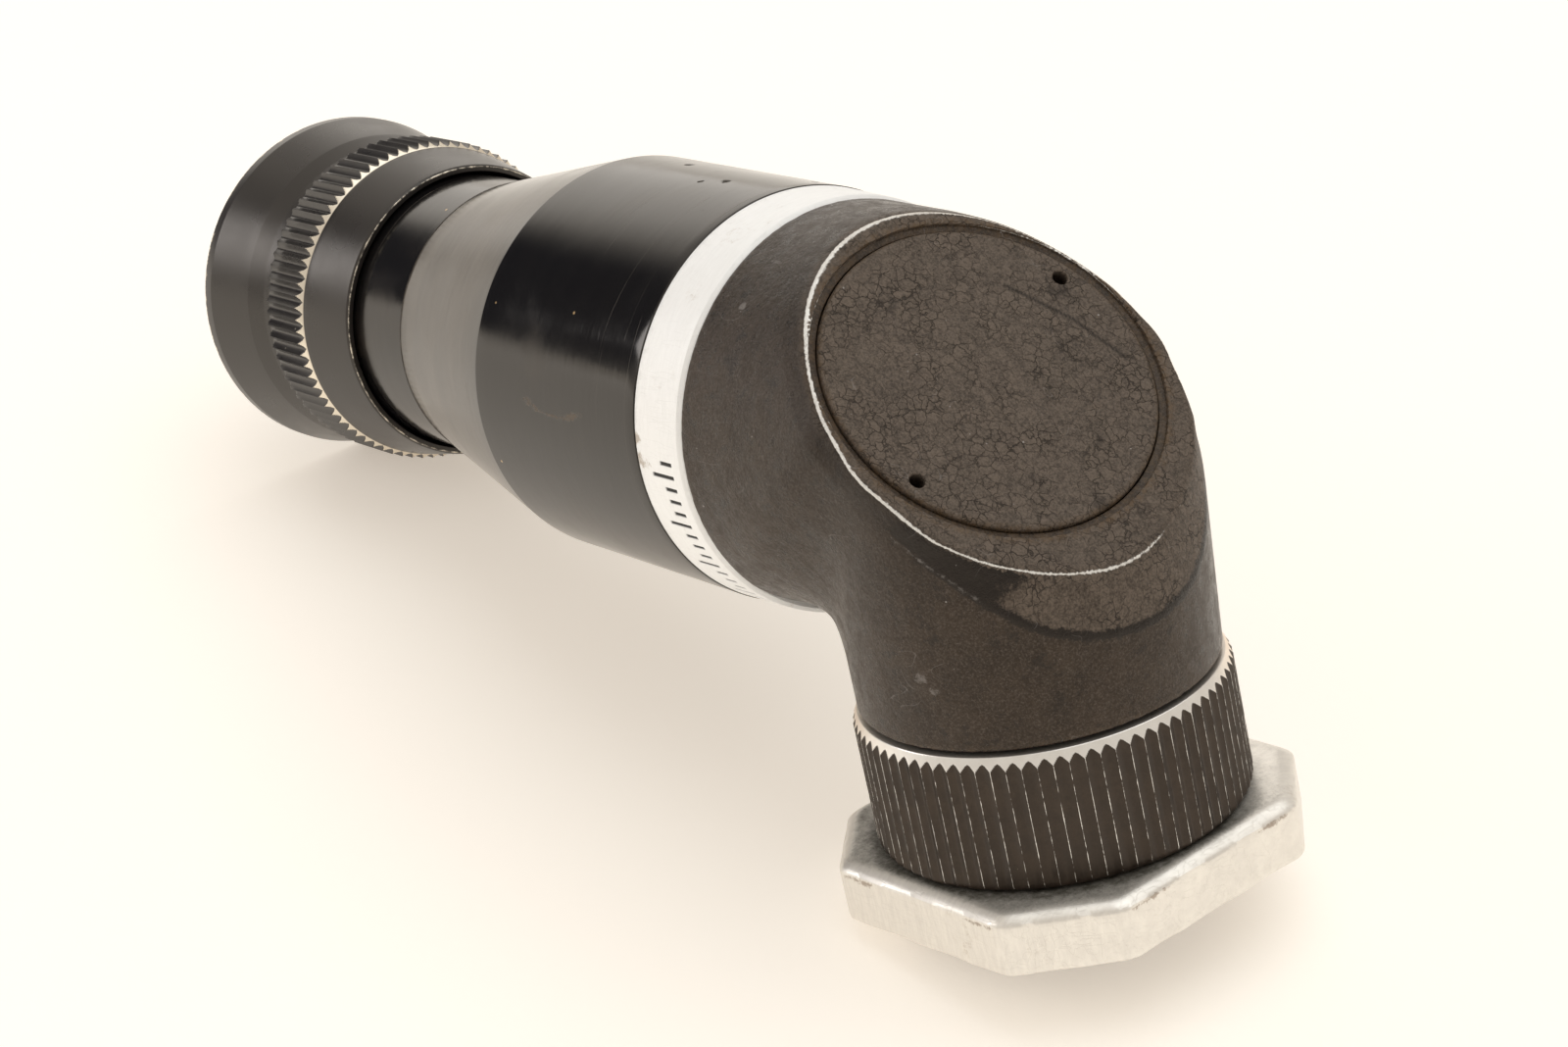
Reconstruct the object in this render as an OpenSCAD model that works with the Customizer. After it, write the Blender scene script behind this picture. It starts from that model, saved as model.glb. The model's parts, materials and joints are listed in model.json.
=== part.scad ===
// Right-angle finder scope on a swivelling octagonal plate.
// Everything is drawn in the optical frame: the two tube axes cross at the origin, the objective
// looks down -Z and the eyepiece points along -X. placed() then lays the scope down as it rests
// on a flat surface: on the barrel-side edge of its plate and on the rim of its eyecup.

/* [Elbow] */
// Outer radius of the lower tube
lower_r = 14.15; // [13.9:0.05:14.2]
// Outer radius of the upper tube
upper_r = 16.3; // [16.0:0.05:16.5]
// Outer radius of both tubes where they meet
bend_r = 15.05; // [14.9:0.05:15.2]
// Distance from the axis crossing to the end of the lower tube
lower_end = 18.85; // [18.5:0.05:18.9]
// Distance from the axis crossing to the end of the upper tube
upper_end = 17.5; // [17:0.1:18]
// Distance from the axis crossing to the slanting face
face_d = 4.77; // [4.6:0.01:5]

/* [Prism cover] */
// Radius of the round cover
cover_r = 13.25; // [12.5:0.05:13.3]
// Thickness of the cover
cover_t = 2.6; // [2.2:0.1:2.7]
// Width of the groove around the cover
cover_groove = 0.8; // [0.4:0.05:0.8]
// Radius of the circle that the two spanner holes lie on
spanner_r = 11.8; // [9:0.1:12]
// Radius of each spanner hole
spanner_hole_r = 0.6; // [0.4:0.05:0.9]

/* [Barrel] */
// End of the bare band
band_end = 23.3; // [22:0.1:24]
// Radius of the barrel
barrel_r = 16.75; // [16.5:0.05:17]
// End of the straight barrel
barrel_end = 46.85; // [44:0.05:50]
// End of the cone
cone_end = 66.6; // [64:0.1:68]
// Radius at the small end of the cone
cone_r = 12.6; // [12.4:0.05:13]
// Radius of the neck
neck_r = 12.25; // [12.2:0.01:12.25]

/* [Eyepiece] */
// Mouth of the sleeve over the neck
mouth_s = 74.8; // [73:0.1:75]
// Start of the knurled focusing ring
knurl_s = 81.1; // [80.5:0.1:81.5]
// Outer radius of the knurled focusing ring
knurl_r = 14.7; // [14.5:0.05:15]
// Number of ribs on the focusing ring
knurl_count = 84; // [60:1:90]
// Distance from the axis crossing to the rim of the eyecup
cup_s = 97.9; // [96:0.1:100]
// Radius of the rim of the eyecup
cup_r = 15.45; // [15.2:0.05:16]

/* [Clamp ring] */
// Outer radius of the clamp ring
ring_r = 14.75; // [14.6:0.05:15]
// Top of the clamp ring below the axis crossing
ring_top = 19.2; // [19.1:0.05:19.4]
// Bottom of the clamp ring below the axis crossing
ring_bottom = 30.25; // [30.1:0.05:30.3]
// Number of flutes on the clamp ring
flute_count = 78; // [50:1:84]

/* [Mount plate] */
// Width across the flats of the plate
plate_w = 31.8; // [31:0.1:34]
// Length that each corner is cut back along both sides
plate_corner = 6.7; // [5:0.1:8]
// Bottom face of the plate below the axis crossing
plate_bottom = 35.3; // [35:0.1:37]
// Turn of the plate about the objective axis, in degrees
plate_turn = 3; // [0:0.5:5]
// Radius of the socket in the underside of the plate
socket_r = 13; // [12.8:0.05:13.2]

/* [Hidden] */
$fn = 96;
eps = 0.01;
running_fit = 0.05;
glued_fit = 0.03;

// stations down the objective axis, as distances below the crossing of the axes
lower_taper_end = 16;
ledge_top = 8.5;
ledge_bottom = 10.5;
bearing_end = 24;
hub_shoulder = 29.9;
washer_top = 30;
plate_top = 30.4;
web_bottom = 31.9;
nut_bottom = 33.2;
socket_top = 33.3;
objective_seat = 26;
presser_top = 25.4;

// radii around the objective axis
lower_bore_r = 12.65;
chamber_r = 12.5;
ledge_r = 10.6;
bearing_r = 12.4;
guide_r = 11.5;
hub_r = 10;
objective_bore_r = 9;
ring_inner_r = 13.2;
nut_pocket_r = 12.6;

// stations along the barrel axis, as distances from the crossing of the axes
bend_reach = 4;
spigot_s = 13.4;
spacer_end = 85.2;
eye_seat = 88.25;
bore_end = 46;
neck_start = 56.5;
neck_end = 82.5;
sleeve_end = 87.4;
flange_end = 88.2;
cell_start = 69;
cell_end = 91;
guide_s = 70.5;

// radii around the barrel axis
spigot_r = 14.75;
barrel_bore_r = 13.2;
neck_seat_r = 11.55;
neck_bore_r = 10.95;
cell_r = 10.9;
cell_bore_r = 9.6;
lens_r = 9.5;
sleeve_under_ring_r = 13.2;

// prism
prism_leg = 15;
cradle_t = 1;
cradle_half = prism_leg / 2 + cradle_t;
light_r = 6.8;
screw_y = 11.5;
cover_shift = -2.9;

// resting pose: the line through the eyecup rim and the plate's lowest corner lies flat
plate_half = plate_w / 2;
side_half = plate_half - plate_corner;
edge_x = plate_half * cos(plate_turn) + side_half * sin(plate_turn);
tilt = atan2(plate_bottom - cup_r, cup_s - edge_x);
rest_z = cup_s * sin(tilt) + cup_r * cos(tilt);
reach_back = cup_s * cos(tilt) + cup_r * sin(tilt);
reach_front = edge_x * cos(tilt) + plate_bottom * sin(tilt);
rest_x = (reach_back - reach_front) / 2;

// Optical frame to resting frame, origin under the middle of the scope on the surface
module placed() {
    translate([rest_x, 0, rest_z]) rotate([0, -tilt, 0]) children();
}

// Local +Z along the objective axis, away from the elbow
module down_objective() {
    rotate([180, 0, 0]) children();
}

// Local +Z along the barrel axis, away from the elbow
module along_barrel() {
    rotate([0, -90, 0]) children();
}

// Local +Z out of the slanting face, origin at the middle of the cover
module on_face() {
    rotate([0, 45, 0]) translate([cover_shift, 0, face_d]) children();
}

// Turned piece from [radius, station] points
module turned(points) {
    rotate_extrude() polygon(points);
}

// Plain ring between two stations
module ring(r_in, r_out, s1, s2) {
    turned([[r_in, s1], [r_out, s1], [r_out, s2], [r_in, s2]]);
}

// Pair of spanner slots cut into the end face of a retaining ring
module spanner_slots(face) {
    for (side = [-1, 1]) translate([side * 9 - 2, -0.6, face - 0.7]) cube([4, 1.2, 1]);
}

// Lens with two spherical faces: rim from s1 to s2, each face bulging by its own sag
module lens(r, s1, s2, sag1, sag2) {
    steps = 8;
    face1 = [for (i = [0:steps]) [r * i / steps, s1 - sag1 * (1 - pow(i / steps, 2))]];
    face2 = [for (i = [steps:-1:0]) [r * i / steps, s2 + sag2 * (1 - pow(i / steps, 2))]];
    turned(concat(face1, face2));
}

// Outline of a knurled ring: flat ribs between flat-bottomed grooves
function fluted(count, r_rib, r_groove) = [
    for (i = [0:count - 1], p = [[0.0, r_rib], [0.3, r_rib], [0.5, r_groove], [0.8, r_groove]])
        p[1] * [cos((i + p[0]) * 360 / count), sin((i + p[0]) * 360 / count)]
];

// ---------------------------------------------------------------- elbow and prism

// Lower tube of the elbow, swelling upwards to the bend
module lower_outside() {
    down_objective() turned([
        [0, -upper_r], [bend_r, -upper_r], [bend_r, bend_reach], [lower_r, lower_taper_end],
        [lower_r, lower_end], [0, lower_end]
    ]);
}

// Upper tube of the elbow, from a blunt end of a given radius beyond the crossing
module upper_outside(end_r, end_s, bend_s) {
    along_barrel() turned([
        [0, end_s], [end_r, end_s], [bend_r, bend_s], [upper_r, bend_reach],
        [upper_r, upper_end], [0, upper_end]
    ]);
}

// Mitred elbow: both tubes where they cross behind the slanting face, either one elsewhere,
// with a round throat in the inner corner
module elbow_outside() {
    bend = 19;
    far = 60;
    throat_r = lower_r - 0.3;
    intersection() {
        union() {
            intersection() {
                lower_outside();
                union() {
                    translate([-far / 2, -far / 2, -far]) cube(far);
                    upper_outside(bend_r, -far / 2, -bend_reach);
                }
            }
            upper_outside(12, -6, 1);
            translate([-bend, 0, -bend]) rotate([90, 0, 0])
                rotate_extrude(angle = 90) translate([bend, 0]) circle(r = throat_r);
        }
        translate([-upper_end, -far / 2, -lower_end]) cube(far);
        on_face() translate([-far, -far, -2 * far]) cube(2 * far);
    }
}

module elbow_chamber() {
    translate([0, 0, -ledge_top]) cylinder(r = chamber_r, h = 30);
    along_barrel() cylinder(r = chamber_r, h = spigot_s + eps);
}

module elbow_housing() {
    wall = 1.9;
    far = 60;
    placed() color("#2b2724") difference() {
        elbow_outside();
        intersection() {
            elbow_chamber();
            on_face() translate([-far, -far, -2 * far - wall]) cube(2 * far);
        }
        along_barrel() translate([0, 0, spigot_s])
            cylinder(r = spigot_r + running_fit, h = upper_end - spigot_s + 1);
        down_objective() translate([0, 0, ledge_top - eps])
            cylinder(r = ledge_r, h = ledge_bottom - ledge_top + 2 * eps);
        down_objective() translate([0, 0, ledge_bottom])
            cylinder(r = lower_bore_r, h = lower_end - ledge_bottom + 1);
        on_face() translate([0, 0, -4]) cylinder(r = cover_r + running_fit, h = 5);
        on_face() translate([0, 0, -0.5]) cylinder(r = cover_r + cover_groove, h = 1);
        for (side = [-1, 1]) translate([0, side * screw_y, -ledge_top - 1.5])
            cylinder(r = 0.5, h = 2);
    }
}

module prism_cover() {
    placed() color("#34302b") on_face() difference() {
        turned([[0, -cover_t], [cover_r, -cover_t], [cover_r, -0.2], [cover_r - 0.2, 0], [0, 0]]);
        for (turn = [115, -65]) rotate([0, 0, turn]) translate([spanner_r, 0, -1.6])
            cylinder(r = spanner_hole_r, h = 2);
    }
}

module cover_gasket() {
    placed() color("#171513") on_face() ring(10.4, 12.2, -cover_t - 0.3, -cover_t);
}

module prism() {
    half = prism_leg / 2;
    placed() color("#cfe0e6", 0.6) rotate([90, 0, 0]) translate([0, 0, -half])
        linear_extrude(prism_leg) polygon([[-half, -half], [half, -half], [-half, half]]);
}

module prism_cradle() {
    half = prism_leg / 2;
    reach = cradle_half - 0.6;
    placed() color("#8c7a4a") difference() {
        union() {
            for (side = [0, 1]) mirror([0, side, 0]) translate([0, cradle_half, 0])
                rotate([90, 0, 0]) linear_extrude(cradle_t)
                polygon([[-cradle_half, -cradle_half], [reach, -cradle_half],
                    [-cradle_half, reach]]);
            translate([-cradle_half, -cradle_half, -cradle_half])
                cube([cradle_half + half, 2 * cradle_half, cradle_t]);
            translate([-cradle_half, -cradle_half, -cradle_half])
                cube([cradle_t, 2 * cradle_half, cradle_half + half]);
            translate([-1.5, -12.2, -cradle_half]) cube([3, 24.4, cradle_t]);
        }
        translate([0, 0, -cradle_half - 1]) cylinder(r = light_r, h = 3);
        along_barrel() translate([0, 0, cradle_half - 2]) cylinder(r = light_r, h = 3);
        for (side = [-1, 1]) translate([0, side * screw_y, -cradle_half - 1])
            cylinder(r = 0.55, h = 3);
    }
}

module cradle_screws() {
    placed() color("#b9b4a8") for (side = [-1, 1])
        translate([0, side * screw_y, -ledge_top - 1.5]) {
            cylinder(r = 0.48, h = 2.5);
            translate([0, 0, 2.5]) cylinder(r = 0.85, h = 0.6);
        }
}

module prism_pad() {
    placed() color("#7a5c3c") rotate([0, 45, 0]) translate([-4, -4, 0]) cube([8, 8, 0.5]);
}

module prism_spring() {
    bow_r = 24;
    leaf = 0.3;
    placed() color("#c9c7bf") rotate([0, 45, 0]) intersection() {
        translate([-3, 0, 0.5 + bow_r]) rotate([0, 90, 0]) difference() {
            cylinder(r = bow_r, h = 6);
            translate([0, 0, -1]) cylinder(r = bow_r - leaf, h = 8);
        }
        translate([-4, -7.5, 0]) cube([8, 15, 5]);
    }
}

// ---------------------------------------------------------------- barrel

module index_band() {
    placed() color("#d5d5d3") along_barrel() turned([
        [spigot_r + running_fit, upper_end], [upper_r - 0.05, upper_end],
        [upper_r + 0.25, upper_end + 0.25], [barrel_r - 0.05, band_end],
        [spigot_r + running_fit, band_end]
    ]);
}

module barrel_tube() {
    placed() color("#1b1b1d") along_barrel() turned([
        [barrel_bore_r, spigot_s], [spigot_r, spigot_s], [spigot_r, band_end], [barrel_r, band_end],
        [barrel_r, barrel_end], [cone_r, cone_end], [neck_seat_r + glued_fit, cone_end],
        [neck_seat_r + glued_fit, neck_start - 0.5], [barrel_bore_r, bore_end]
    ]);
}

module barrel_baffle() {
    stop_r = 8.5;
    rim_r = barrel_bore_r - glued_fit;
    placed() color("#101010") along_barrel() turned([
        [stop_r, 34], [rim_r, 33], [rim_r, 36], [rim_r - 0.7, 36], [rim_r - 0.7, 34.6],
        [stop_r, 34.6]
    ]);
}

module neck_tube() {
    placed() color("#17171a") difference() {
        along_barrel() turned([
            [neck_bore_r, neck_start], [neck_seat_r, neck_start], [neck_seat_r, cone_end],
            [neck_r, cone_end], [neck_r, neck_end], [neck_bore_r, neck_end]
        ]);
        translate([-guide_s, 0, -neck_r - 1]) cylinder(r = 0.75, h = 3);
    }
}

module guide_screw() {
    placed() color("#9a9a98") translate([-guide_s, 0, -neck_r + 0.1])
        cylinder(r = 0.72, h = neck_r - 0.1 - cell_bore_r - 0.3);
}

// ---------------------------------------------------------------- objective and foot

module objective_tube() {
    placed() color("#26262a") down_objective() turned([
        [cell_bore_r, ledge_bottom], [lower_bore_r - glued_fit, ledge_bottom],
        [lower_bore_r - glued_fit, lower_end], [bearing_r, lower_end], [bearing_r, bearing_end],
        [guide_r, bearing_end], [guide_r, hub_shoulder], [hub_r, hub_shoulder],
        [hub_r, nut_bottom], [objective_bore_r, nut_bottom], [objective_bore_r, objective_seat],
        [8.3, objective_seat], [8.3, objective_seat - 1.5], [cell_bore_r, objective_seat - 1.5]
    ]);
}

module objective_crown() {
    placed() color("#b8d4e6", 0.5) down_objective() lens(8.9, 26.05, 28, -0.9, 0.8);
}

module objective_flint() {
    placed() color("#c6cfe8", 0.5) down_objective() lens(8.9, 28.02, 30.4, -0.8, -0.4);
}

module objective_retainer() {
    placed() color("#1e1e20") down_objective() difference() {
        ring(8.1, objective_bore_r - glued_fit, 30.45, 31.8);
        spanner_slots(31.8);
    }
}

// Open snap ring under the bearing of the clamp ring
module ring_clip() {
    placed() color("#a7a49b") down_objective() difference() {
        ring(guide_r + glued_fit, 13, bearing_end + 0.05, bearing_end + 0.6);
        translate([9, -2.5, bearing_end - 1]) cube([6, 5, 3]);
    }
}

module plate_nut() {
    placed() color("#2a2a2c") down_objective() difference() {
        ring(hub_r + glued_fit, 12.4, web_bottom + 0.05, nut_bottom);
        for (side = [0, 180]) rotate([0, 0, side]) translate([11, -0.6, nut_bottom - 0.8])
            cube([2, 1.2, 1]);
    }
}

module clamp_ring() {
    rim = 0.55;
    rib_r = ring_r - 0.04;
    groove_r = ring_r - 0.45;
    placed() color("#37322c") down_objective() difference() {
        union() {
            turned([[bearing_r + running_fit, ring_top], [ring_r - 0.3, ring_top],
                [ring_r, ring_top + 0.35], [ring_r, ring_top + rim],
                [bearing_r + running_fit, ring_top + rim]]);
            translate([0, 0, ring_top + rim]) linear_extrude(ring_bottom - ring_top - rim)
                polygon(fluted(flute_count, rib_r, groove_r));
        }
        translate([0, 0, ring_top - 1]) cylinder(r = bearing_r + running_fit, h = 20);
        translate([0, 0, bearing_end - 0.1]) cylinder(r = ring_inner_r, h = 20);
    }
}

module pressure_ring() {
    placed() color("#55524c") down_objective()
        ring(guide_r + running_fit, ring_inner_r - 0.1, presser_top, washer_top - 0.03);
}

module mount_plate() {
    placed() color("#cfcfcc") down_objective() rotate([0, 0, -plate_turn]) difference() {
        intersection() {
            translate([0, 0, plate_top]) linear_extrude(plate_bottom - plate_top) polygon([
                for (q = [0:3], side = [-1, 1])
                    let (x = plate_half, y = side * side_half)
                    [x * cos(90 * q) - y * sin(90 * q), x * sin(90 * q) + y * cos(90 * q)]
            ]);
            turned([[0, plate_top], [15.2, plate_top], [19.2, plate_top + 1.2],
                [20, plate_bottom + 1], [0, plate_bottom + 1]]);
        }
        translate([0, 0, plate_top - 1]) cylinder(r = hub_r + running_fit, h = 10);
        translate([0, 0, web_bottom]) cylinder(r = nut_pocket_r, h = 10);
        translate([0, 0, socket_top]) cylinder(r = socket_r, h = 10);
    }
}

module friction_washer() {
    placed() color("#b08d4f") down_objective()
        ring(hub_r + 0.1, 12.9, washer_top, plate_top);
}

// ---------------------------------------------------------------- eyepiece

module eyepiece_cell() {
    web = 76;
    placed() color("#202022") difference() {
        along_barrel() turned([
            [cell_bore_r, cell_start], [cell_r, cell_start], [cell_r, sleeve_end + 0.05],
            [12, sleeve_end + 0.05], [12, flange_end - 0.05], [cell_r, flange_end - 0.05],
            [cell_r, cell_end], [cell_bore_r, cell_end], [cell_bore_r, web + 1], [8, web + 1],
            [8, web], [cell_bore_r, web]
        ]);
        translate([-guide_s - 4.6, -0.8, -cell_r - 1]) cube([8, 1.6, 3]);
    }
}

module field_lens() {
    placed() color("#bcd8e2", 0.5) along_barrel() lens(lens_r, 72.6, 75.4, 0.4, 0.5);
}

module field_retainer() {
    placed() color("#1c1c1e") along_barrel() ring(8.8, cell_bore_r - glued_fit, 70.5, 72.5);
}

module reticle_disc() {
    placed() color("#dfe7e4", 0.5) along_barrel() translate([0, 0, 77.05])
        cylinder(r = lens_r, h = 1);
}

module lens_spacer() {
    placed() color("#1c1c1e") along_barrel() ring(8.8, cell_bore_r - glued_fit, 78.1, spacer_end);
}

module eye_lens() {
    placed() color("#bcd8e2", 0.5) along_barrel() lens(lens_r, 85.4, 88, 0.9, 0.9);
}

module eye_retainer() {
    placed() color("#1c1c1e") along_barrel() difference() {
        ring(8.2, cell_bore_r - glued_fit, eye_seat, 90.6);
        spanner_slots(90.6);
    }
}

module focus_sleeve() {
    placed() color("#1f1e20") along_barrel() turned([
        [12.6, mouth_s], [13.05, mouth_s], [13.2, mouth_s + 0.25], [14.2, knurl_s],
        [sleeve_under_ring_r, knurl_s], [sleeve_under_ring_r, sleeve_end],
        [cell_r + 0.3, sleeve_end], [cell_r + 0.3, sleeve_end - 0.7],
        [neck_r + running_fit, sleeve_end - 0.7], [neck_r + running_fit, mouth_s + 1.2]
    ]);
}

module focus_ring() {
    chamfer = 0.5;
    rib_r = knurl_r - 0.04;
    groove_r = knurl_r - 0.4;
    placed() color("#2a2829") along_barrel() difference() {
        union() {
            turned([[13, knurl_s], [knurl_r - 0.4, knurl_s], [knurl_r, knurl_s + chamfer],
                [13, knurl_s + chamfer]]);
            translate([0, 0, knurl_s + chamfer]) linear_extrude(sleeve_end - knurl_s - chamfer)
                polygon(fluted(knurl_count, rib_r, groove_r));
        }
        translate([0, 0, knurl_s - 1]) cylinder(r = sleeve_under_ring_r + glued_fit, h = 20);
    }
}

module eyecup() {
    placed() color("#1a191b") along_barrel() turned([
        [12.1, sleeve_end], [13.7, sleeve_end], [13.7, 88.5], [14.2, 89.3], [14.55, 91.5],
        [cup_r, cup_s - 1.3], [cup_r, cup_s - 0.2], [cup_r - 0.2, cup_s], [14.9, cup_s],
        [14.6, cup_s - 0.4], [13.6, 94], [12.4, 92.2], [cell_r + 0.2, 91.4],
        [cell_r + 0.2, flange_end], [12.1, flange_end]
    ]);
}

elbow_housing();
prism_cover();
cover_gasket();
prism();
prism_cradle();
cradle_screws();
prism_pad();
prism_spring();
index_band();
barrel_tube();
barrel_baffle();
neck_tube();
guide_screw();
objective_tube();
objective_crown();
objective_flint();
objective_retainer();
ring_clip();
plate_nut();
clamp_ring();
pressure_ring();
mount_plate();
friction_washer();
eyepiece_cell();
field_lens();
field_retainer();
reticle_disc();
lens_spacer();
eye_lens();
eye_retainer();
focus_sleeve();
focus_ring();
eyecup();
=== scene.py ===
"""Looks of a right-angle finder scope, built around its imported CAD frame.

Lengths are in millimetres in the optical frame: the two tube axes cross at the origin, the
objective looks down -Z and the eyepiece points along -X. PLACE takes that frame, in
millimetres, to the row frame, in metres.
"""
import json
import math

import bpy
import numpy as np
from mathutils import Matrix, Vector


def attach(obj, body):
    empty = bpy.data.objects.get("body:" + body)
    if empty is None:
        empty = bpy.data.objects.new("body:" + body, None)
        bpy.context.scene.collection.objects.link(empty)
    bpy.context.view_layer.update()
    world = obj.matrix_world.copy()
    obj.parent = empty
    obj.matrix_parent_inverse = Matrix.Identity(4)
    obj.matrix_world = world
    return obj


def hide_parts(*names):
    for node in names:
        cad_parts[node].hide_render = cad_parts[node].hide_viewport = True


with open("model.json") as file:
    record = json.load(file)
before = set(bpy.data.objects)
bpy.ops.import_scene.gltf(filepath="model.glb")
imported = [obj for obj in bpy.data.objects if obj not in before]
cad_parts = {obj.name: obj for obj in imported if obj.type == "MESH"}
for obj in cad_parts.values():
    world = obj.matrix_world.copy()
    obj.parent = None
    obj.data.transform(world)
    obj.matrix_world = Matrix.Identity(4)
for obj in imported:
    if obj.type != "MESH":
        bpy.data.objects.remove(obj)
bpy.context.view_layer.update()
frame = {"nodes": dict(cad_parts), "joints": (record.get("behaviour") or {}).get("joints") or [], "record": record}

MM = 0.001

# ------------------------------------------------------------------ frame and main sizes

joints = {j["name"]: j for j in frame["joints"]}
TO_EYE = Vector(joints["focus_turn"]["axis"]).normalized()
TO_PLATE = Vector(joints["plate_swivel"]["axis"]).normalized()
on_barrel = Vector(joints["focus_turn"]["pos_m"])
CROSSING = on_barrel + TO_EYE * (Vector(joints["plate_swivel"]["pos_m"]) - on_barrel).dot(TO_EYE)

PLACE = Matrix.Identity(4)
for column, axis in enumerate((-TO_EYE, -TO_PLATE.cross(-TO_EYE), -TO_PLATE)):
    for row in range(3):
        PLACE[row][column] = axis[row] * MM
PLACE.translation = CROSSING

BARREL = Matrix.Rotation(math.radians(-90), 4, "Y")       # local Z runs to the eyecup
OBJECTIVE = Matrix.Rotation(math.radians(180), 4, "X")    # local Z runs to the plate
FACE_D = 4.77
COVER_SHIFT = -2.9
FACE = Matrix.Rotation(math.radians(45), 4, "Y") @ Matrix.Translation((COVER_SHIFT, 0, FACE_D))

LOWER_R, UPPER_R = 14.15, 16.3
LOWER_END, UPPER_END = 18.85, 17.5
BARREL_BORE_R, BARREL_START = 14.8, 13.4
LOWER_BORE_R, LOWER_BORE_START = 12.65, 10.5
CHAMBER_R, CHAMBER_BOTTOM, CHAMBER_ROOF = 12.5, 8.5, 3.5
SEAT_DEPTH = 4.0
COVER_R, GROOVE_R = 13.25, 14.05
BAND_END, BARREL_R, BARREL_END = 23.3, 16.75, 46.85
CONE_END, CONE_R, NECK_R, NECK_END = 66.6, 12.6, 12.25, 82.5
MOUTH_S, KNURL_S, KNURL_END = 74.8, 81.1, 87.4
CUP_S, CUP_R = 97.9, 15.45
RING_R, RING_TOP, RING_BOTTOM = 14.75, 19.2, 30.25
PLATE_HALF, PLATE_CUT = 15.9, 6.7
PLATE_TOP, PLATE_BOTTOM, PLATE_TURN = 30.4, 35.3, 3.0


# ------------------------------------------------------------------ shader helpers

def node(tree, kind, inputs=None, **settings):
    """A shader node; an input given as a socket is linked, anything else is set on it."""
    made = tree.nodes.new("ShaderNode" + kind)
    for name, value in settings.items():
        setattr(made, name, value)
    for name, value in (inputs or {}).items():
        socket = made.inputs[name]
        if isinstance(value, bpy.types.NodeSocket):
            tree.links.new(value, socket)
        else:
            socket.default_value = value
    return made


def calc(tree, operation, a, b=0.0, clamp=False):
    """A sum, a product or another operation on two numbers."""
    return node(tree, "Math", {0: a, 1: b}, operation=operation, use_clamp=clamp).outputs[0]


def step(tree, value, low, high, out_low=0.0, out_high=1.0):
    """Smooth step of a value from low to high."""
    inputs = {"Value": value, "From Min": low, "From Max": high, "To Min": out_low, "To Max": out_high}
    made = node(tree, "MapRange", inputs, interpolation_type="SMOOTHSTEP")
    return made.outputs["Result"]


def blend(tree, factor, a, b):
    """Colour a where factor is 0 and b where it is 1."""
    made = node(tree, "Mix", data_type="RGBA")
    for index, value in ((0, factor), (6, a), (7, b)):
        socket = made.inputs[index]
        if isinstance(value, bpy.types.NodeSocket):
            tree.links.new(value, socket)
        elif index == 0:
            socket.default_value = value
        else:
            socket.default_value = (*value, 1)
    return made.outputs[2]


def lerp(tree, factor, a, b):
    """Number a where factor is 0 and b where it is 1."""
    return node(tree, "MapRange", {"Value": factor, "To Min": a, "To Max": b}).outputs["Result"]


def optical(tree, scale=(1, 1, 1)):
    """Optical-frame millimetres at the shaded point, times a scale for each axis."""
    back = PLACE.inverted()
    turn = back.to_3x3().normalized().to_euler()
    place = node(tree, "TexCoord").outputs["Object"]
    inputs = {"Vector": place, "Location": back.translation, "Rotation": turn}
    millimetres = node(tree, "Mapping", {**inputs, "Scale": (1 / MM,) * 3}).outputs[0]
    return node(tree, "Mapping", {"Vector": millimetres, "Scale": scale}).outputs[0]


def grain(tree, place, scale, detail=4.0, roughness=0.55):
    """Cloudy noise about 0.5."""
    inputs = {"Vector": place, "Scale": scale, "Detail": detail, "Roughness": roughness}
    return node(tree, "TexNoise", inputs).outputs["Fac"]


def cells(tree, place, scale, feature="F1", output="Distance"):
    """A measure on irregular cells, such as the distance from the cell's own point."""
    inputs = {"Vector": place, "Scale": scale}
    return node(tree, "TexVoronoi", inputs, feature=feature).outputs[output]


def mark(tree, name):
    """A number stored on the mesh's points, such as wear or crackle, or 0 where there is none."""
    return node(tree, "Attribute", attribute_name=name).outputs["Fac"]


def dent(tree, height, depth_mm, strength=1.0, under=None):
    """A bump of that many millimetres for a height of 1."""
    inputs = {"Height": height, "Distance": depth_mm * MM, "Strength": strength}
    if under is not None:
        inputs["Normal"] = under
    return node(tree, "Bump", inputs).outputs["Normal"]


def one_each(tree, place, scale, most):
    """A random number up to most for each cell of that scale."""
    colour = cells(tree, place, scale, output="Color")
    pick = node(tree, "SeparateColor", {"Color": colour}).outputs[0]
    return calc(tree, "MULTIPLY", pick, most)


def specks(tree, place, scale, size, share):
    """1 on small scattered dots: one dot in a share of the cells of that scale."""
    chosen = calc(tree, "LESS_THAN", one_each(tree, place, scale, 1.0), share)
    dot = step(tree, cells(tree, place, scale), size, size * 0.55)
    return calc(tree, "MULTIPLY", chosen, dot)


def scratches(tree, place, scale, width, share):
    """1 on fine straight-ish lines: level lines of stretched noise, broken up by a second one."""
    level = grain(tree, place, scale, 1.0, 0.3)
    line = calc(tree, "ABSOLUTE", calc(tree, "SUBTRACT", level, 0.5))
    thin = step(tree, line, width, width * 0.3)
    broken = step(tree, grain(tree, place, scale * 0.6, 2.0), 1 - share, 1.04 - share)
    return calc(tree, "MULTIPLY", thin, broken)


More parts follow.
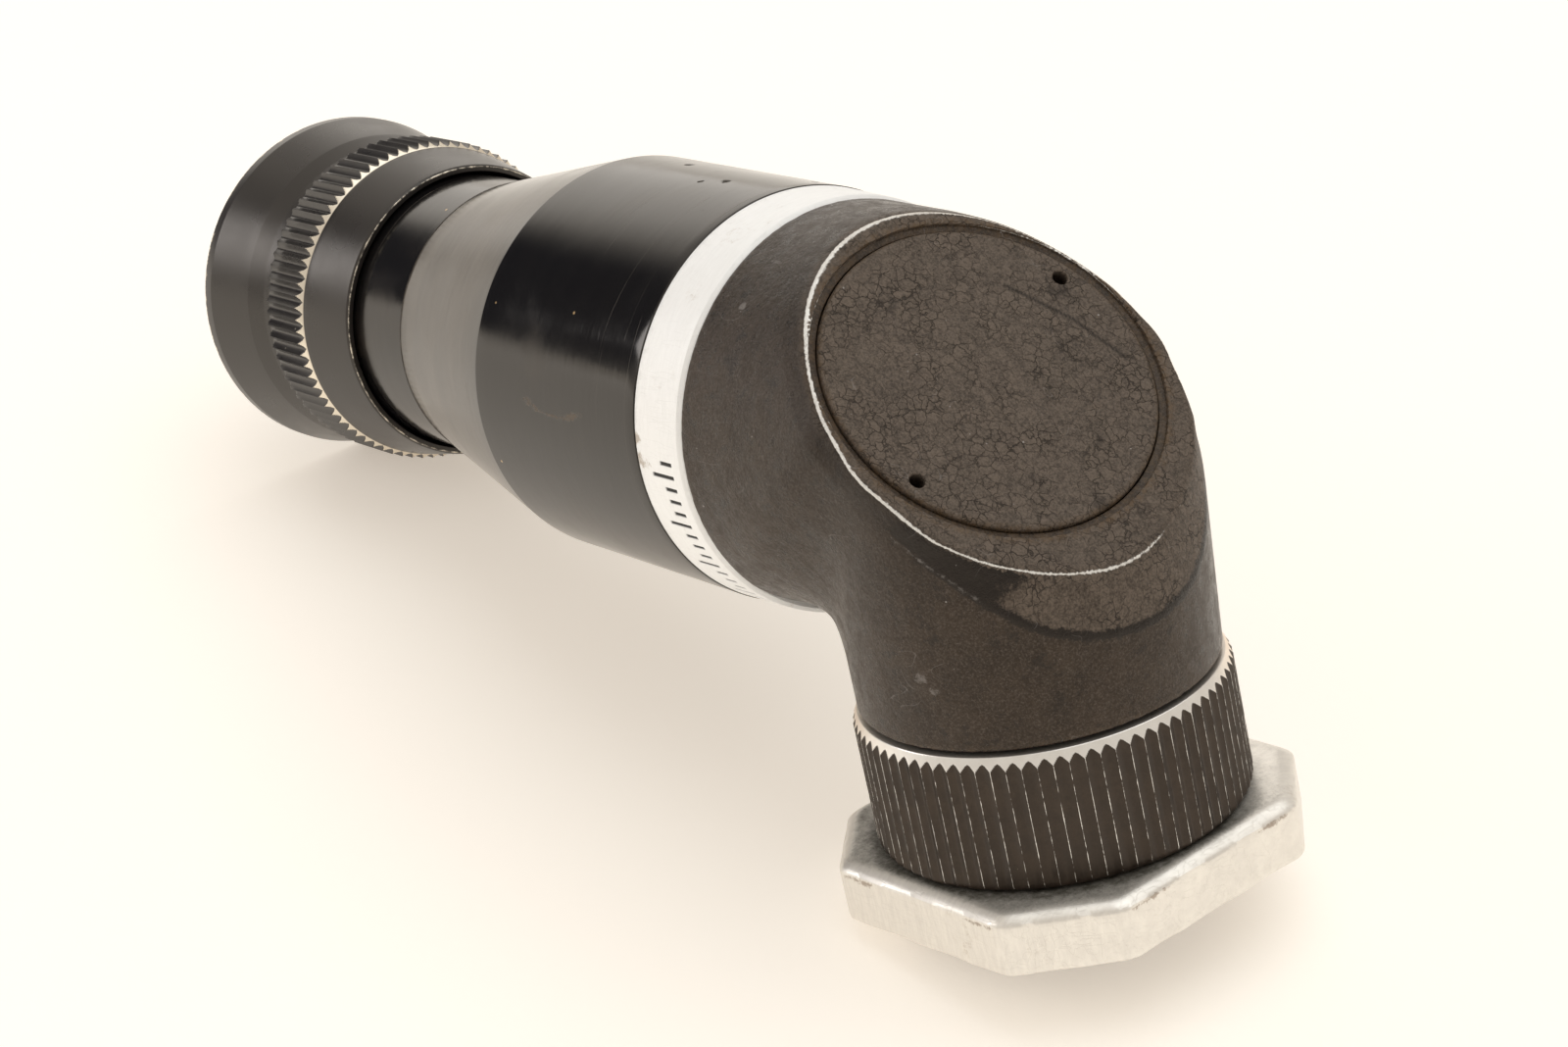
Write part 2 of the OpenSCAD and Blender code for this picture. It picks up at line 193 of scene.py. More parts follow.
def material(name, paint, **constants):
    """paint(tree) returns the shader inputs that vary; constants are set on the shader itself."""
    made = bpy.data.materials.new(name)
    made.use_nodes = True
    tree = made.node_tree
    tree.nodes.clear()
    inputs = paint(tree)
    shader = node(tree, "BsdfPrincipled")
    for socket, value in {**constants, **inputs}.items():
        if isinstance(value, bpy.types.NodeSocket):
            tree.links.new(value, shader.inputs[socket])
        else:
            shader.inputs[socket].default_value = value
    out = node(tree, "OutputMaterial")
    tree.links.new(shader.outputs[0], out.inputs["Surface"])
    return made


# ------------------------------------------------------------------ materials

BARE_METAL = (0.80, 0.79, 0.76)
FACE_WAY = (0.7071, 0, 0.7071)    # the way that the slanting face looks


def crackle_enamel(tree):
    """Brown-black baked enamel: crazed into cells where 'crackle' is 1, smoother elsewhere.
    'rim' and 'foot' run along the two edges of the bevel, 'scuff' over chips and scratches,
    and 'shade' is painted shade beside the face, which makes the enamel there darker and glossier."""
    place = optical(tree)
    mottle = grain(tree, place, 0.30, 8.0, 0.70)
    fine = grain(tree, place, 3.2, 5.0, 0.75)
    grit = grain(tree, place, 5.5, 4.0, 0.8)
    ragged = grain(tree, place, 1.7, 7.0, 0.80)
    crazed = mark(tree, "crackle")
    shake = node(tree, "TexNoise", {"Vector": place, "Scale": 1.3, "Detail": 3.0}).outputs["Color"]
    warped = node(tree, "VectorMath", {0: place, 1: shake}, operation="ADD").outputs[0]

    # Seams between the cells, then the plain enamel and the crazed crust
    seams = step(tree, cells(tree, warped, 1.15, "DISTANCE_TO_EDGE"), 0.060, 0.0)
    seams = calc(tree, "MULTIPLY", seams, step(tree, mottle, 0.40, 0.60, 0.15, 1.0))
    plates = step(tree, cells(tree, warped, 1.15), 0.0, 0.65, 1.0, 0.0)
    smooth = blend(tree, step(tree, mottle, 0.34, 0.68), (0.0110, 0.0068, 0.0040),
                   (0.0260, 0.0172, 0.0108))
    smooth = blend(tree, step(tree, fine, 0.45, 0.8, 0.0, 0.55), smooth, (0.075, 0.056, 0.041))
    smooth = blend(tree, step(tree, grit, 0.46, 0.66, 0.0, 0.50), smooth, (0.120, 0.100, 0.088))
    blotch = grain(tree, place, 0.70, 7.0, 0.80)
    smooth = blend(tree, step(tree, blotch, 0.48, 0.36, 0.0, 0.85), smooth, (0.0050, 0.0042, 0.0040))
    tone = calc(tree, "ADD", one_each(tree, warped, 1.15, 0.22), one_each(tree, warped, 3.1, 0.36))
    tone = calc(tree, "ADD", tone, step(tree, mottle, 0.32, 0.70, 0.0, 0.22))
    tone = calc(tree, "ADD", tone, step(tree, grit, 0.36, 0.64, 0.0, 0.60))
    crust = blend(tree, tone, (0.0090, 0.0070, 0.0055), (0.1270, 0.1010, 0.0810))
    crust = blend(tree, calc(tree, "MULTIPLY", seams, 0.90), crust, (0.0070, 0.0056, 0.0045))
    crust = blend(tree, step(tree, grain(tree, place, 0.16, 6.0, 0.85), 0.55, 0.66, 0.0, 0.70),
                  crust, (0.0130, 0.0105, 0.0095))
    paint = blend(tree, crazed, smooth, crust)

    # Brown dust, painted shade beside the face, then the dark edge of the bevel
    brown = calc(tree, "MULTIPLY", mark(tree, "dust"), step(tree, ragged, 0.42, 0.60))
    paint = blend(tree, calc(tree, "MULTIPLY", brown, 0.8), paint, (0.105, 0.066, 0.034))
    lower = calc(tree, "ADD", mark(tree, "foot"), calc(tree, "MULTIPLY", ragged, 1.1))
    shade = calc(tree, "MULTIPLY", mark(tree, "shade"), step(tree, ragged, 0.3, 0.6, 0.7, 1.0))
    paint = blend(tree, shade, paint, (0.0050, 0.0045, 0.0046))
    inky = step(tree, lower, 1.12, 1.32)
    paint = blend(tree, inky, paint, (0.0045, 0.0042, 0.0045))

    # Chips, hairlines, scuffs and the scored line on the cover
    chips = calc(tree, "MAXIMUM", specks(tree, place, 0.42, 0.045, 0.45),
                 specks(tree, place, 1.1, 0.075, 0.10))
    hairs = calc(tree, "MAXIMUM", scratches(tree, optical(tree, (0.14, 0.5, 0.4)), 1.1, 0.005, 0.42),
                 scratches(tree, optical(tree, (0.7, 0.2, 0.9)), 1.6, 0.005, 0.34))
    scuff = step(tree, calc(tree, "ADD", mark(tree, "scuff"), ragged), 1.04, 1.22)
    flecks = calc(tree, "MAXIMUM", calc(tree, "MAXIMUM", calc(tree, "MULTIPLY", chips, 0.8), calc(
        tree, "MULTIPLY", hairs, 0.20)), calc(tree, "MULTIPLY", scuff, 0.35))
    flecked = blend(tree, flecks, paint, (0.34, 0.32, 0.31))
    flecked = blend(tree, mark(tree, "score"), flecked, (0.004, 0.0035, 0.003))

    # Bare metal in a thin ragged line just under the height of the face
    level = node(tree, "VectorMath", {0: place, 1: FACE_WAY}, operation="DOT_PRODUCT")
    edge_level = calc(tree, "ADD", level.outputs["Value"], 0.15 - FACE_D)
    off_edge = calc(tree, "ABSOLUTE", edge_level)
    off_edge = calc(tree, "ADD", off_edge, step(tree, fine, 0.3, 0.7, 0.0, 0.06))
    worn = mark(tree, "rim")
    line = step(tree, off_edge, lerp(tree, worn, 0.04, 0.13), lerp(tree, worn, 0.0, 0.09))
    bare = calc(tree, "MULTIPLY", line, step(tree, calc(tree, "ADD", worn, calc(
        tree, "MULTIPLY", ragged, 1.3)), 0.94, 1.10))
    colour = blend(tree, bare, flecked, BARE_METAL)

    rough = lerp(tree, crazed, step(tree, blotch, 0.36, 0.64, 0.22, 0.46),
                 step(tree, mottle, 0.3, 0.7, 0.42, 0.56))
    rough = lerp(tree, calc(tree, "MAXIMUM", inky, shade), rough, 0.25)
    height = calc(tree, "ADD", calc(tree, "MULTIPLY", fine, 0.60), calc(
        tree, "MULTIPLY", crazed, calc(tree, "SUBTRACT", calc(tree, "MULTIPLY", plates, 0.3), seams)))
    return {"Base Color": colour, "Metallic": bare, "Roughness": rough,
            "Normal": dent(tree, height, 0.055, under=dent(tree, mottle, 0.22))}


def gloss_enamel(tree):
    """Gloss black barrel enamel with turning marks, brassy nicks and rubbed brown patches, and a painted
    reflection that lightens the cone towards brown.
    """
    place = optical(tree)
    turning = grain(tree, optical(tree, (9.0, 0.05, 0.05)), 1.0, 3.0)
    smear = grain(tree, optical(tree, (0.35, 0.06, 0.06)), 1.0, 5.0, 0.6)
    cloud = grain(tree, place, 0.12, 6.0, 0.6)
    ragged = grain(tree, place, 1.9, 7.0, 0.80)
    rings = scratches(tree, optical(tree, (1.3, 0.035, 0.035)), 1.0, 0.005, 0.42)
    nicks = specks(tree, place, 0.26, 0.045, 0.5)
    rub = step(tree, calc(tree, "ADD", mark(tree, "rub"), calc(tree, "MULTIPLY", ragged, 1.0)),
               1.04, 1.30)
    black = blend(tree, smear, (0.0035, 0.0035, 0.0042), (0.010, 0.0090, 0.0088))
    black = blend(tree, step(tree, cloud, 0.52, 0.70, 0.0, 0.35), black, (0.032, 0.025, 0.019))
    # Painted reflection: the cone's enamel is lightened towards brown, standing in for the bright table that it
    # reflects
    cone_reflection = calc(tree, "MULTIPLY", mark(tree, "cone_reflection"), step(tree, smear, 0.3, 0.7, 0.5, 1.0))
    black = blend(tree, cone_reflection, black, (0.090, 0.074, 0.058))
    dusty = blend(tree, calc(tree, "MULTIPLY", rub, 0.6), black, (0.120, 0.082, 0.050))
    lined = blend(tree, calc(tree, "MULTIPLY", rings, 0.42), dusty, (0.20, 0.17, 0.14))
    nicked = blend(tree, nicks, lined, (0.46, 0.32, 0.17))
    scuff = step(tree, calc(tree, "ADD", mark(tree, "scuff"), ragged), 1.10, 1.18)
    nicked = blend(tree, scuff, nicked, (0.020, 0.014, 0.010))
    bare = step(tree, calc(tree, "ADD", mark(tree, "wear"), calc(tree, "MULTIPLY", ragged, 0.9)),
                1.22, 1.34)
    dull = calc(tree, "MAXIMUM", calc(tree, "MULTIPLY", calc(tree, "MAXIMUM", rub, rings), 0.3),
                calc(tree, "MULTIPLY", scuff, 0.7))
    rough = calc(tree, "ADD", step(tree, cloud, 0.35, 0.7, 0.10, 0.20), dull)
    height = calc(tree, "SUBTRACT", smear, calc(tree, "MULTIPLY", calc(
        tree, "MAXIMUM", rub, calc(tree, "MULTIPLY", scuff, 5.0)), ragged))
    return {"Base Color": blend(tree, bare, nicked, (0.50, 0.40, 0.27)), "Metallic": bare,
            "Roughness": rough, "Normal": dent(tree, height, 0.02, under=dent(tree, turning, 0.0016))}


def satin_black(tree):
    """Black anodised turning: broad soft shine, fine lathe lines, silver where 'wear' is 1."""
    turning = grain(tree, optical(tree, (7.0, 0.05, 0.05)), 1.0, 3.0)
    place = optical(tree)
    cloud = grain(tree, place, 0.18, 5.0)
    ragged = grain(tree, place, 1.5, 6.0, 0.75)
    bare = step(tree, calc(tree, "ADD", mark(tree, "wear"), calc(tree, "MULTIPLY", ragged, 0.8)),
                1.04, 1.22)
    black = blend(tree, cloud, (0.0080, 0.0070, 0.0072), (0.0150, 0.0125, 0.0120))
    flecked = blend(tree, specks(tree, place, 0.4, 0.045, 0.2), black, (0.30, 0.27, 0.24))
    rough = lerp(tree, bare, step(tree, cloud, 0.3, 0.7, 0.26, 0.34), 0.3)
    return {"Base Color": blend(tree, bare, flecked, (0.82, 0.75, 0.63)), "Metallic": bare,
            "Roughness": rough, "Normal": dent(tree, turning, 0.004)}


def bare_aluminium(tree):
    """Rubbed bare aluminium: crossing hairlines, brown stains, grime where 'grime' is 1."""
    place = optical(tree)
    cloud = grain(tree, place, 0.22, 7.0, 0.65)
    fine = grain(tree, place, 3.5, 5.0, 0.7)
    ragged = grain(tree, place, 1.2, 7.0, 0.8)
    hairs = calc(tree, "MAXIMUM", scratches(tree, optical(tree, (0.3, 1.2, 2.4)), 1.0, 0.008, 0.6),
                 scratches(tree, optical(tree, (2.0, 0.5, 0.4)), 1.0, 0.008, 0.6))
    brushed = grain(tree, optical(tree, (3.0, 0.6, 0.6)), 1.0, 5.0, 0.7)
    matt = mark(tree, "matt")
    low = blend(tree, matt, (0.79, 0.76, 0.71), (0.94, 0.95, 0.95))
    high = blend(tree, matt, (0.88, 0.85, 0.79), (0.99, 1.0, 1.0))
    bright = blend(tree, step(tree, brushed, 0.3, 0.75), low, high)
    stain = calc(tree, "MULTIPLY", step(tree, cloud, 0.58, 0.74), step(tree, ragged, 0.48, 0.66))
    stain = calc(tree, "MAXIMUM", stain, step(tree, calc(tree, "ADD", mark(tree, "rub"), ragged),
                                              1.00, 1.20))
    stained = blend(tree, calc(tree, "MULTIPLY", stain, 0.6), bright, (0.32, 0.23, 0.13))
    edge = step(tree, calc(tree, "ADD", mark(tree, "wear"), ragged), 1.36, 1.50)
    browned = blend(tree, calc(tree, "MULTIPLY", edge, 0.6), stained, (0.20, 0.115, 0.055))
    grime = step(tree, calc(tree, "ADD", mark(tree, "grime"), calc(
        tree, "MULTIPLY", calc(tree, "SUBTRACT", ragged, 0.5), 0.9)), 0.15, 1.0)
    dirty = blend(tree, grime, browned, (0.050, 0.046, 0.032))
    inked = blend(tree, mark(tree, "ink"), dirty, (0.010, 0.009, 0.008))
    metal = calc(tree, "SUBTRACT", lerp(tree, matt, 0.80, 0.25), calc(
        tree, "MAXIMUM", mark(tree, "ink"), calc(tree, "MULTIPLY", grime, 0.6)), clamp=True)
    rough = calc(tree, "ADD", step(tree, cloud, 0.3, 0.7, 0.30, 0.42), calc(
        tree, "MULTIPLY", hairs, 0.12))
    rough = calc(tree, "ADD", rough, calc(tree, "MULTIPLY", calc(
        tree, "MAXIMUM", grime, matt), 0.2))
    return {"Base Color": inked, "Metallic": metal, "Roughness": rough,
            "Normal": dent(tree, calc(tree, "SUBTRACT", fine, hairs), 0.008)}


def fluted_black(tree):
    """Blackened ring: bright metal where 'bright' is 1, and in broken threads on the ridges."""
    place = optical(tree)
    mottle = grain(tree, place, 0.6, 7.0, 0.7)
    along = grain(tree, optical(tree, (1.5, 1.5, 0.55)), 1.3, 5.0, 0.80)
    dark = blend(tree, step(tree, mottle, 0.35, 0.7), (0.0125, 0.0082, 0.0058), (0.034, 0.024, 0.017))
    flecked = blend(tree, specks(tree, place, 0.7, 0.06, 0.10), dark, (0.30, 0.26, 0.20))
    ridge = step(tree, calc(tree, "ADD", mark(tree, "ridge"), along), 1.40, 1.48)
    bare = calc(tree, "MAXIMUM", step(tree, mark(tree, "bright"), 0.35, 0.65), ridge)
    rough = lerp(tree, bare, step(tree, mottle, 0.3, 0.7, 0.30, 0.46), 0.30)
    metal = blend(tree, grain(tree, place, 1.1, 5.0, 0.6), (0.76, 0.73, 0.68), (0.92, 0.91, 0.88))
    return {"Base Color": blend(tree, bare, flecked, metal), "Roughness": rough,
            "Metallic": calc(tree, "MULTIPLY", bare, 0.85),
            "Normal": dent(tree, grain(tree, place, 4.0, 4.0), 0.01)}


def matt_black(tree):
    """Flat black paint inside the tubes."""
    place = optical(tree)
    dust = grain(tree, place, 1.2, 6.0, 0.7)
    colour = blend(tree, step(tree, dust, 0.45, 0.8), (0.010, 0.010, 0.010), (0.035, 0.033, 0.030))
    speckled = blend(tree, specks(tree, place, 0.8, 0.08, 0.1), colour, (0.22, 0.20, 0.18))
    return {"Base Color": speckled, "Roughness": step(tree, dust, 0.3, 0.7, 0.52, 0.72),
            "Normal": dent(tree, grain(tree, place, 5.0, 3.0), 0.01)}


def turned_metal(light, dark, rough_low, rough_high):
    """A paint function for plain metal with tool marks and a little tarnish."""
    def paint(tree):
        place = optical(tree)
        tarnish = grain(tree, place, 0.5, 7.0, 0.65)
        lines = grain(tree, optical(tree, (5.0, 0.4, 5.0)), 1.0, 3.0)
        return {"Base Color": blend(tree, step(tree, tarnish, 0.35, 0.75), light, dark),
                "Roughness": step(tree, tarnish, 0.3, 0.7, rough_low, rough_high),
                "Normal": dent(tree, lines, 0.004)}
    return paint


def lens_glass(tint):
    """A paint function for polished glass with a faint layer of dust."""
    def paint(tree):
        dust = grain(tree, optical(tree), 0.9, 6.0, 0.7)
        return {"Base Color": blend(tree, step(tree, dust, 0.55, 0.8, 0.0, 0.3), tint, (0.9, 0.9, 0.88)),
                "Roughness": step(tree, dust, 0.5, 0.8, 0.015, 0.12)}
    return paint


def cork(tree):
    """Brown cork crumbs."""
    place = optical(tree)
    crumbs = cells(tree, place, 1.4)
    colour = blend(tree, crumbs, (0.46, 0.32, 0.19), (0.25, 0.16, 0.09))
    return {"Base Color": colour, "Roughness": step(tree, crumbs, 0.0, 0.6, 0.75, 0.95),
            "Normal": dent(tree, crumbs, 0.12)}


STEEL = turned_metal((0.62, 0.61, 0.59), (0.42, 0.39, 0.35), 0.28, 0.42)
BRASS = turned_metal((0.78, 0.58, 0.28), (0.46, 0.31, 0.14), 0.25, 0.42)
GLASS = {"Transmission Weight": 1.0, "IOR": 1.52}
WARM = {"Specular Tint": (1.0, 0.86, 0.74, 1)}
WARMISH = {"Specular Tint": (1.0, 0.94, 0.86, 1)}
MATERIALS = {
    "crackle_black": material("crackle_black", crackle_enamel, IOR=1.42, **WARM),
    "gloss_black": material("gloss_black", gloss_enamel, IOR=1.55, **WARMISH),
    "satin_black": material("satin_black", satin_black, IOR=1.6, **WARMISH),
    "bare_aluminium": material("bare_aluminium", bare_aluminium),
    "fluted_black": material("fluted_black", fluted_black, IOR=1.5, **WARM),
    "inner_black": material("inner_black", matt_black, IOR=1.45),
    "steel": material("steel", STEEL, Metallic=1.0),
    "brass": material("brass", BRASS, Metallic=1.0),
    "optical_glass": material("optical_glass", lens_glass((0.93, 0.97, 0.97)), **GLASS),
    "coated_glass": material("coated_glass", lens_glass((0.80, 0.82, 0.97)), **GLASS),
    "cork": material("cork", cork),
}


# ------------------------------------------------------------------ mesh helpers

def piece(name, points, faces, place, body, slot, replaces=(), marks=None, sharp=35):
    """A mesh from local millimetre points, placed in the row frame, riding on a body."""
    to_row = np.array(PLACE @ place)
    coords = np.asarray(points, float) @ to_row[:3, :3].T + to_row[:3, 3]
    mesh = bpy.data.meshes.new(name)
    mesh.from_pydata(coords.tolist(), [], [list(map(int, face)) for face in faces])
    for key, values in (marks or {}).items():
        layer = mesh.attributes.new(key, "FLOAT", "POINT")
        layer.data.foreach_set("value", np.asarray(values, np.float32))
    mesh.materials.append(MATERIALS[slot])
    mesh.validate()
    mesh.shade_smooth()
    mesh.set_sharp_from_angle(angle=math.radians(sharp))
    made = bpy.data.objects.new(name, mesh)
    bpy.context.scene.collection.objects.link(made)
    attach(made, body)
    if replaces:
        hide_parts(*replaces)
    return made


def rounded(corners, arc=4, reach=0.5):
    """Closed outline of (radius, station, fillet, wear) corners, the last of which may be left
    out. Returns the outline's points and their wear."""
    outline, wear = [], []
    for i, (radius, station, fillet, *worn) in enumerate(corners):
        corner = np.array((radius, station))
        before = np.array(corners[i - 1][:2]) - corner
        after = np.array(corners[(i + 1) % len(corners)][:2]) - corner
        len_before, len_after = np.linalg.norm(before), np.linalg.norm(after)
        before, after = before / len_before, after / len_after
        worn = worn[0] if worn else 0
        if fillet <= 0:
            outline.append(corner)
            wear.append(worn)
            continue
        angle = math.acos(np.clip(before @ after, -1, 1))
        cut = min(fillet / math.tan(angle / 2), 0.45 * len_before, 0.45 * len_after)
        if len_before > 3 * (cut + reach):
            outline.append(corner + before * (cut + reach))
            wear.append(0)
        for t in np.linspace(0, 1, arc + 1):
            outline.append(corner + before * cut * (1 - t) ** 2 + after * cut * t ** 2)
            wear.append(worn)
        if len_after > 3 * (cut + reach):
            outline.append(corner + after * (cut + reach))
            wear.append(0)
    return np.array(outline), np.array(wear, float)


def ring_faces(rows, turns):
    """Quads of a closed outline of that many rows, turned right round in that many steps."""
    row, turn = np.meshgrid(np.arange(rows), np.arange(turns), indexing="ij")
    next_row, next_turn = (row + 1) % rows, (turn + 1) % turns
    quads = (row * turns + turn, row * turns + next_turn,
             next_row * turns + next_turn, next_row * turns + turn)
    return np.stack([q.ravel() for q in quads], 1)


def lathe(name, corners, place, body, slot, replaces=(), turns=288, shape=None):
    """A turned ring from a closed outline. shape(radius, station, angle) may reshape its
    radius and returns the new radius with extra marks."""
    outline, wear = rounded(corners)
    angle = np.arange(turns) * 2 * math.pi / turns
    radius = np.repeat(outline[:, :1], turns, 1)
    station = np.repeat(outline[:, 1:], turns, 1)
    around = np.broadcast_to(angle, radius.shape)
    marks = {"wear": np.repeat(wear[:, None], turns, 1)}
    if shape:
        radius, extra = shape(radius, station, around)
        marks.update(extra)
    points = np.stack([radius * np.cos(around), radius * np.sin(around), station], -1)
    faces = ring_faces(len(outline), turns)[:, ::-1]
    return piece(name, points.reshape(-1, 3), faces, place, body, slot, replaces,
                 {key: value.ravel() for key, value in marks.items()})


def spots(points, centres):
    """1 at each (x, y, z, radius) centre, falling to 0 at its radius."""
    value = np.zeros(len(points))
    for *centre, radius in centres:
        distance = np.linalg.norm(points - np.array(centre), axis=1)
        value = np.maximum(value, np.clip(1 - distance / radius, 0, 1))
    return value


def smooth_max(a, b, width):
    """The larger of two fields, with the corner between them rounded."""
    mix = np.clip(0.5 + 0.5 * (a - b) / width, 0, 1)
    return b + (a - b) * mix + width * mix * (1 - mix)


def smooth_min(a, b, width):
    return -smooth_max(-a, -b, width)


def smooth_step(value, low, high):
    t = np.clip((value - low) / (high - low), 0, 1)
    return t * t * (3 - 2 * t)


def gradient(field, points, delta=0.01):
    """Slope of a field at each point, by central differences."""
    slope = np.empty_like(points)
    for axis in range(3):
        shift = np.zeros(3)
        shift[axis] = delta
        slope[:, axis] = (field(points + shift) - field(points - shift)) / (2 * delta)
    return slope


def contour(field, low, high, size):
    """Quad mesh of field = 0 (negative inside), with its points drawn onto the edges of the
    shape: each cell's point settles on the planes that the surface makes through the cell."""
    counts = [int(math.ceil((b - a) / size)) + 1 for a, b in zip(low, high)]
    axes = [a + size * np.arange(n) for a, n in zip(low, counts)]
    values = np.empty(counts)
    for i, x in enumerate(axes[0]):
        y, z = np.meshgrid(axes[1], axes[2], indexing="ij")
        flat = np.stack([np.full(y.size, x), y.ravel(), z.ravel()], 1)
        values[i] = field(flat).reshape(y.shape)
    cell_counts = [n - 1 for n in counts]
    strides = (cell_counts[1] * cell_counts[2], cell_counts[2], 1)
    hits, owners, quads = [], [], []
    for axis in range(3):
        first = np.moveaxis(values, axis, 0)[:-1]
        second = np.moveaxis(values, axis, 0)[1:]
        crossing = np.argwhere((first < 0) != (second < 0))
        crossing = crossing[:, [1, 2]], crossing[:, 0]
        others = [a for a in range(3) if a != axis]
        index = np.empty((len(crossing[1]), 3), int)
        index[:, axis] = crossing[1]
        index[:, others[0]], index[:, others[1]] = crossing[0][:, 0], crossing[0][:, 1]
        inner = np.all([(index[:, o] > 0) & (index[:, o] < cell_counts[o]) for o in others], 0)
        index = index[inner]
        ahead = index.copy()
        ahead[:, axis] += 1
        a, b = values[tuple(index.T)], values[tuple(ahead.T)]
        hit = np.array(low) + size * index.astype(float)
        hit[:, axis] += size * a / (a - b)
        corners = []
        for du, dv in ((0, 0), (-1, 0), (-1, -1), (0, -1)):
            cell = index.copy()
            cell[:, others[0]] += du
            cell[:, others[1]] += dv
            corners.append(cell @ np.array(strides))
        ring = np.stack(corners, 1)
        flip = (a < 0) == (axis != 1)
        ring[flip] = ring[flip][:, ::-1]
        quads.append(ring)
        hits.append(np.repeat(hit, 4, 0))
        owners.append(ring.ravel())
    hits, owners, quads = np.concatenate(hits), np.concatenate(owners), np.concatenate(quads)
    used, owners = np.unique(owners, return_inverse=True)
    faces = np.searchsorted(used, quads)
    normals = gradient(field, hits)
    normals /= np.linalg.norm(normals, axis=1, keepdims=True)
    share = 1 / np.bincount(owners)
    points = np.stack([np.bincount(owners, hits[:, k]) * share for k in range(3)], 1)
    centre = points.copy()
    for _ in range(14):
        miss = np.einsum("ij,ij->i", normals, hits - points[owners])
        push = [np.bincount(owners, normals[:, k] * miss) * share for k in range(3)]
        points += 1.6 * np.stack(push, 1)
        points = centre + np.clip(points - centre, -0.6 * size, 0.6 * size)
    return points, faces


# ------------------------------------------------------------------ camera

# Looks steeply down at the elbow from the objective's far side
camera_at = PLACE @ Vector((212.79, -152.34, 95.34))
right = Vector((0.58183, 0.78726, -0.20420))
down = Vector((0.17564, -0.36677, -0.91358))
ahead = Vector((-0.79412, 0.49569, -0.35167))
camera = bpy.data.objects.new("camera", bpy.data.cameras.new("camera"))
camera.data.lens = 85.6
camera.data.sensor_width = 36
turned = Matrix((right, -down, -ahead)).transposed()
camera.matrix_world = Matrix.Translation(camera_at) @ (
    PLACE.to_3x3().normalized() @ turned).to_4x4()
bpy.context.scene.collection.objects.link(camera)
bpy.context.scene.camera = camera
bpy.context.scene.view_settings.view_transform = "Standard"


# ------------------------------------------------------------------ elbow, cover and its seat

def tube(radius_squared, radius):
    """Distance outside a tube of that radius."""
    return np.sqrt(np.maximum(radius_squared, 1e-9)) - radius


# The tubes' radius at the rim of the face, by distance across it from the mitre
RIM_RADII = ((-14, 16.2), (-8, 16.0), (-5.6, 15.9), (-2.5, 15.5), (0, 15.15), (2, 15.05),
             (6.7, 15.1), (9.7, 14.6), (12, 14.06), (13.9, 13.72), (16, 13.72))
CHAMFER_SPREAD, CHAMFER_CUT = 1.848, 0.06    # of the worn edge between the tubes and the face


def elbow_parts(points):
    """The two joined tubes, the height over the face and over the foot of its bevel, as
    fields. Above the foot the tubes lean in to the outline of the face's rim."""
    x, y, z = points.T
    outward = (x + z) / math.sqrt(2)
    across = (x - z) / math.sqrt(2)
    face = outward - FACE_D
    foot = -1.9 - 0.9 * smooth_step(across, 8, 17)
    rise = np.clip((face - foot) / (-0.15 - foot), 0, 1)
    swell = 0.95 * np.clip((z + 19) / 15, 0, 1) * smooth_step(x, -7, 6)
    base = UPPER_R + (LOWER_R + swell - UPPER_R) * smooth_step(across, -5.5, 2.5)
    rim = np.interp(across, *zip(*RIM_RADII))
    radius = base + (rim - base) * rise
    upper = tube(y * y + z * z, radius)
    lower = tube(x * x + y * y, radius)
    side = smooth_step(across, -2.5, 2.5)
    mitred = upper * (1 - side) + lower * side
    joined = smooth_min(upper, lower, 0.8 + 4.2 * smooth_step(-outward, 4, 17))
    inner = smooth_step(-outward, 0, 4)
    tubes = mitred * (1 - inner) + joined * inner
    return tubes, face, face - foot


def elbow_field(points):
    """Distance-like field of the elbow casting in the optical frame, negative inside."""
    x, y, z = points.T
    across = (x - z) / math.sqrt(2)
    tubes, face, _ = elbow_parts(points)
    body = smooth_max(tubes, (tubes + face) / CHAMFER_SPREAD + CHAMFER_CUT, 0.3)
    body = smooth_max(body, face, 0.22)
    body = smooth_max(body, -x - UPPER_END, 0.35)
    body = smooth_max(body, -z - LOWER_END, 0.35)
    in_face = across - COVER_SHIFT
    seat = np.maximum(tube(in_face * in_face + y * y, GROOVE_R - 0.15), -face - SEAT_DEPTH)
    upper_bore = np.maximum(tube(y * y + z * z, BARREL_BORE_R), x + BARREL_START)
    lower_bore = np.maximum(tube(x * x + y * y, LOWER_BORE_R), z + LOWER_BORE_START)
    chamber = np.maximum(np.minimum(
        np.maximum(tube(x * x + y * y, CHAMBER_R), -z - CHAMBER_BOTTOM),
        np.maximum(tube(y * y + z * z, CHAMBER_R), x)), face + CHAMBER_ROOF)
    for hollow in (seat, upper_bore, lower_bore, chamber):
        body = smooth_max(body, -hollow, 0.25)
    return body


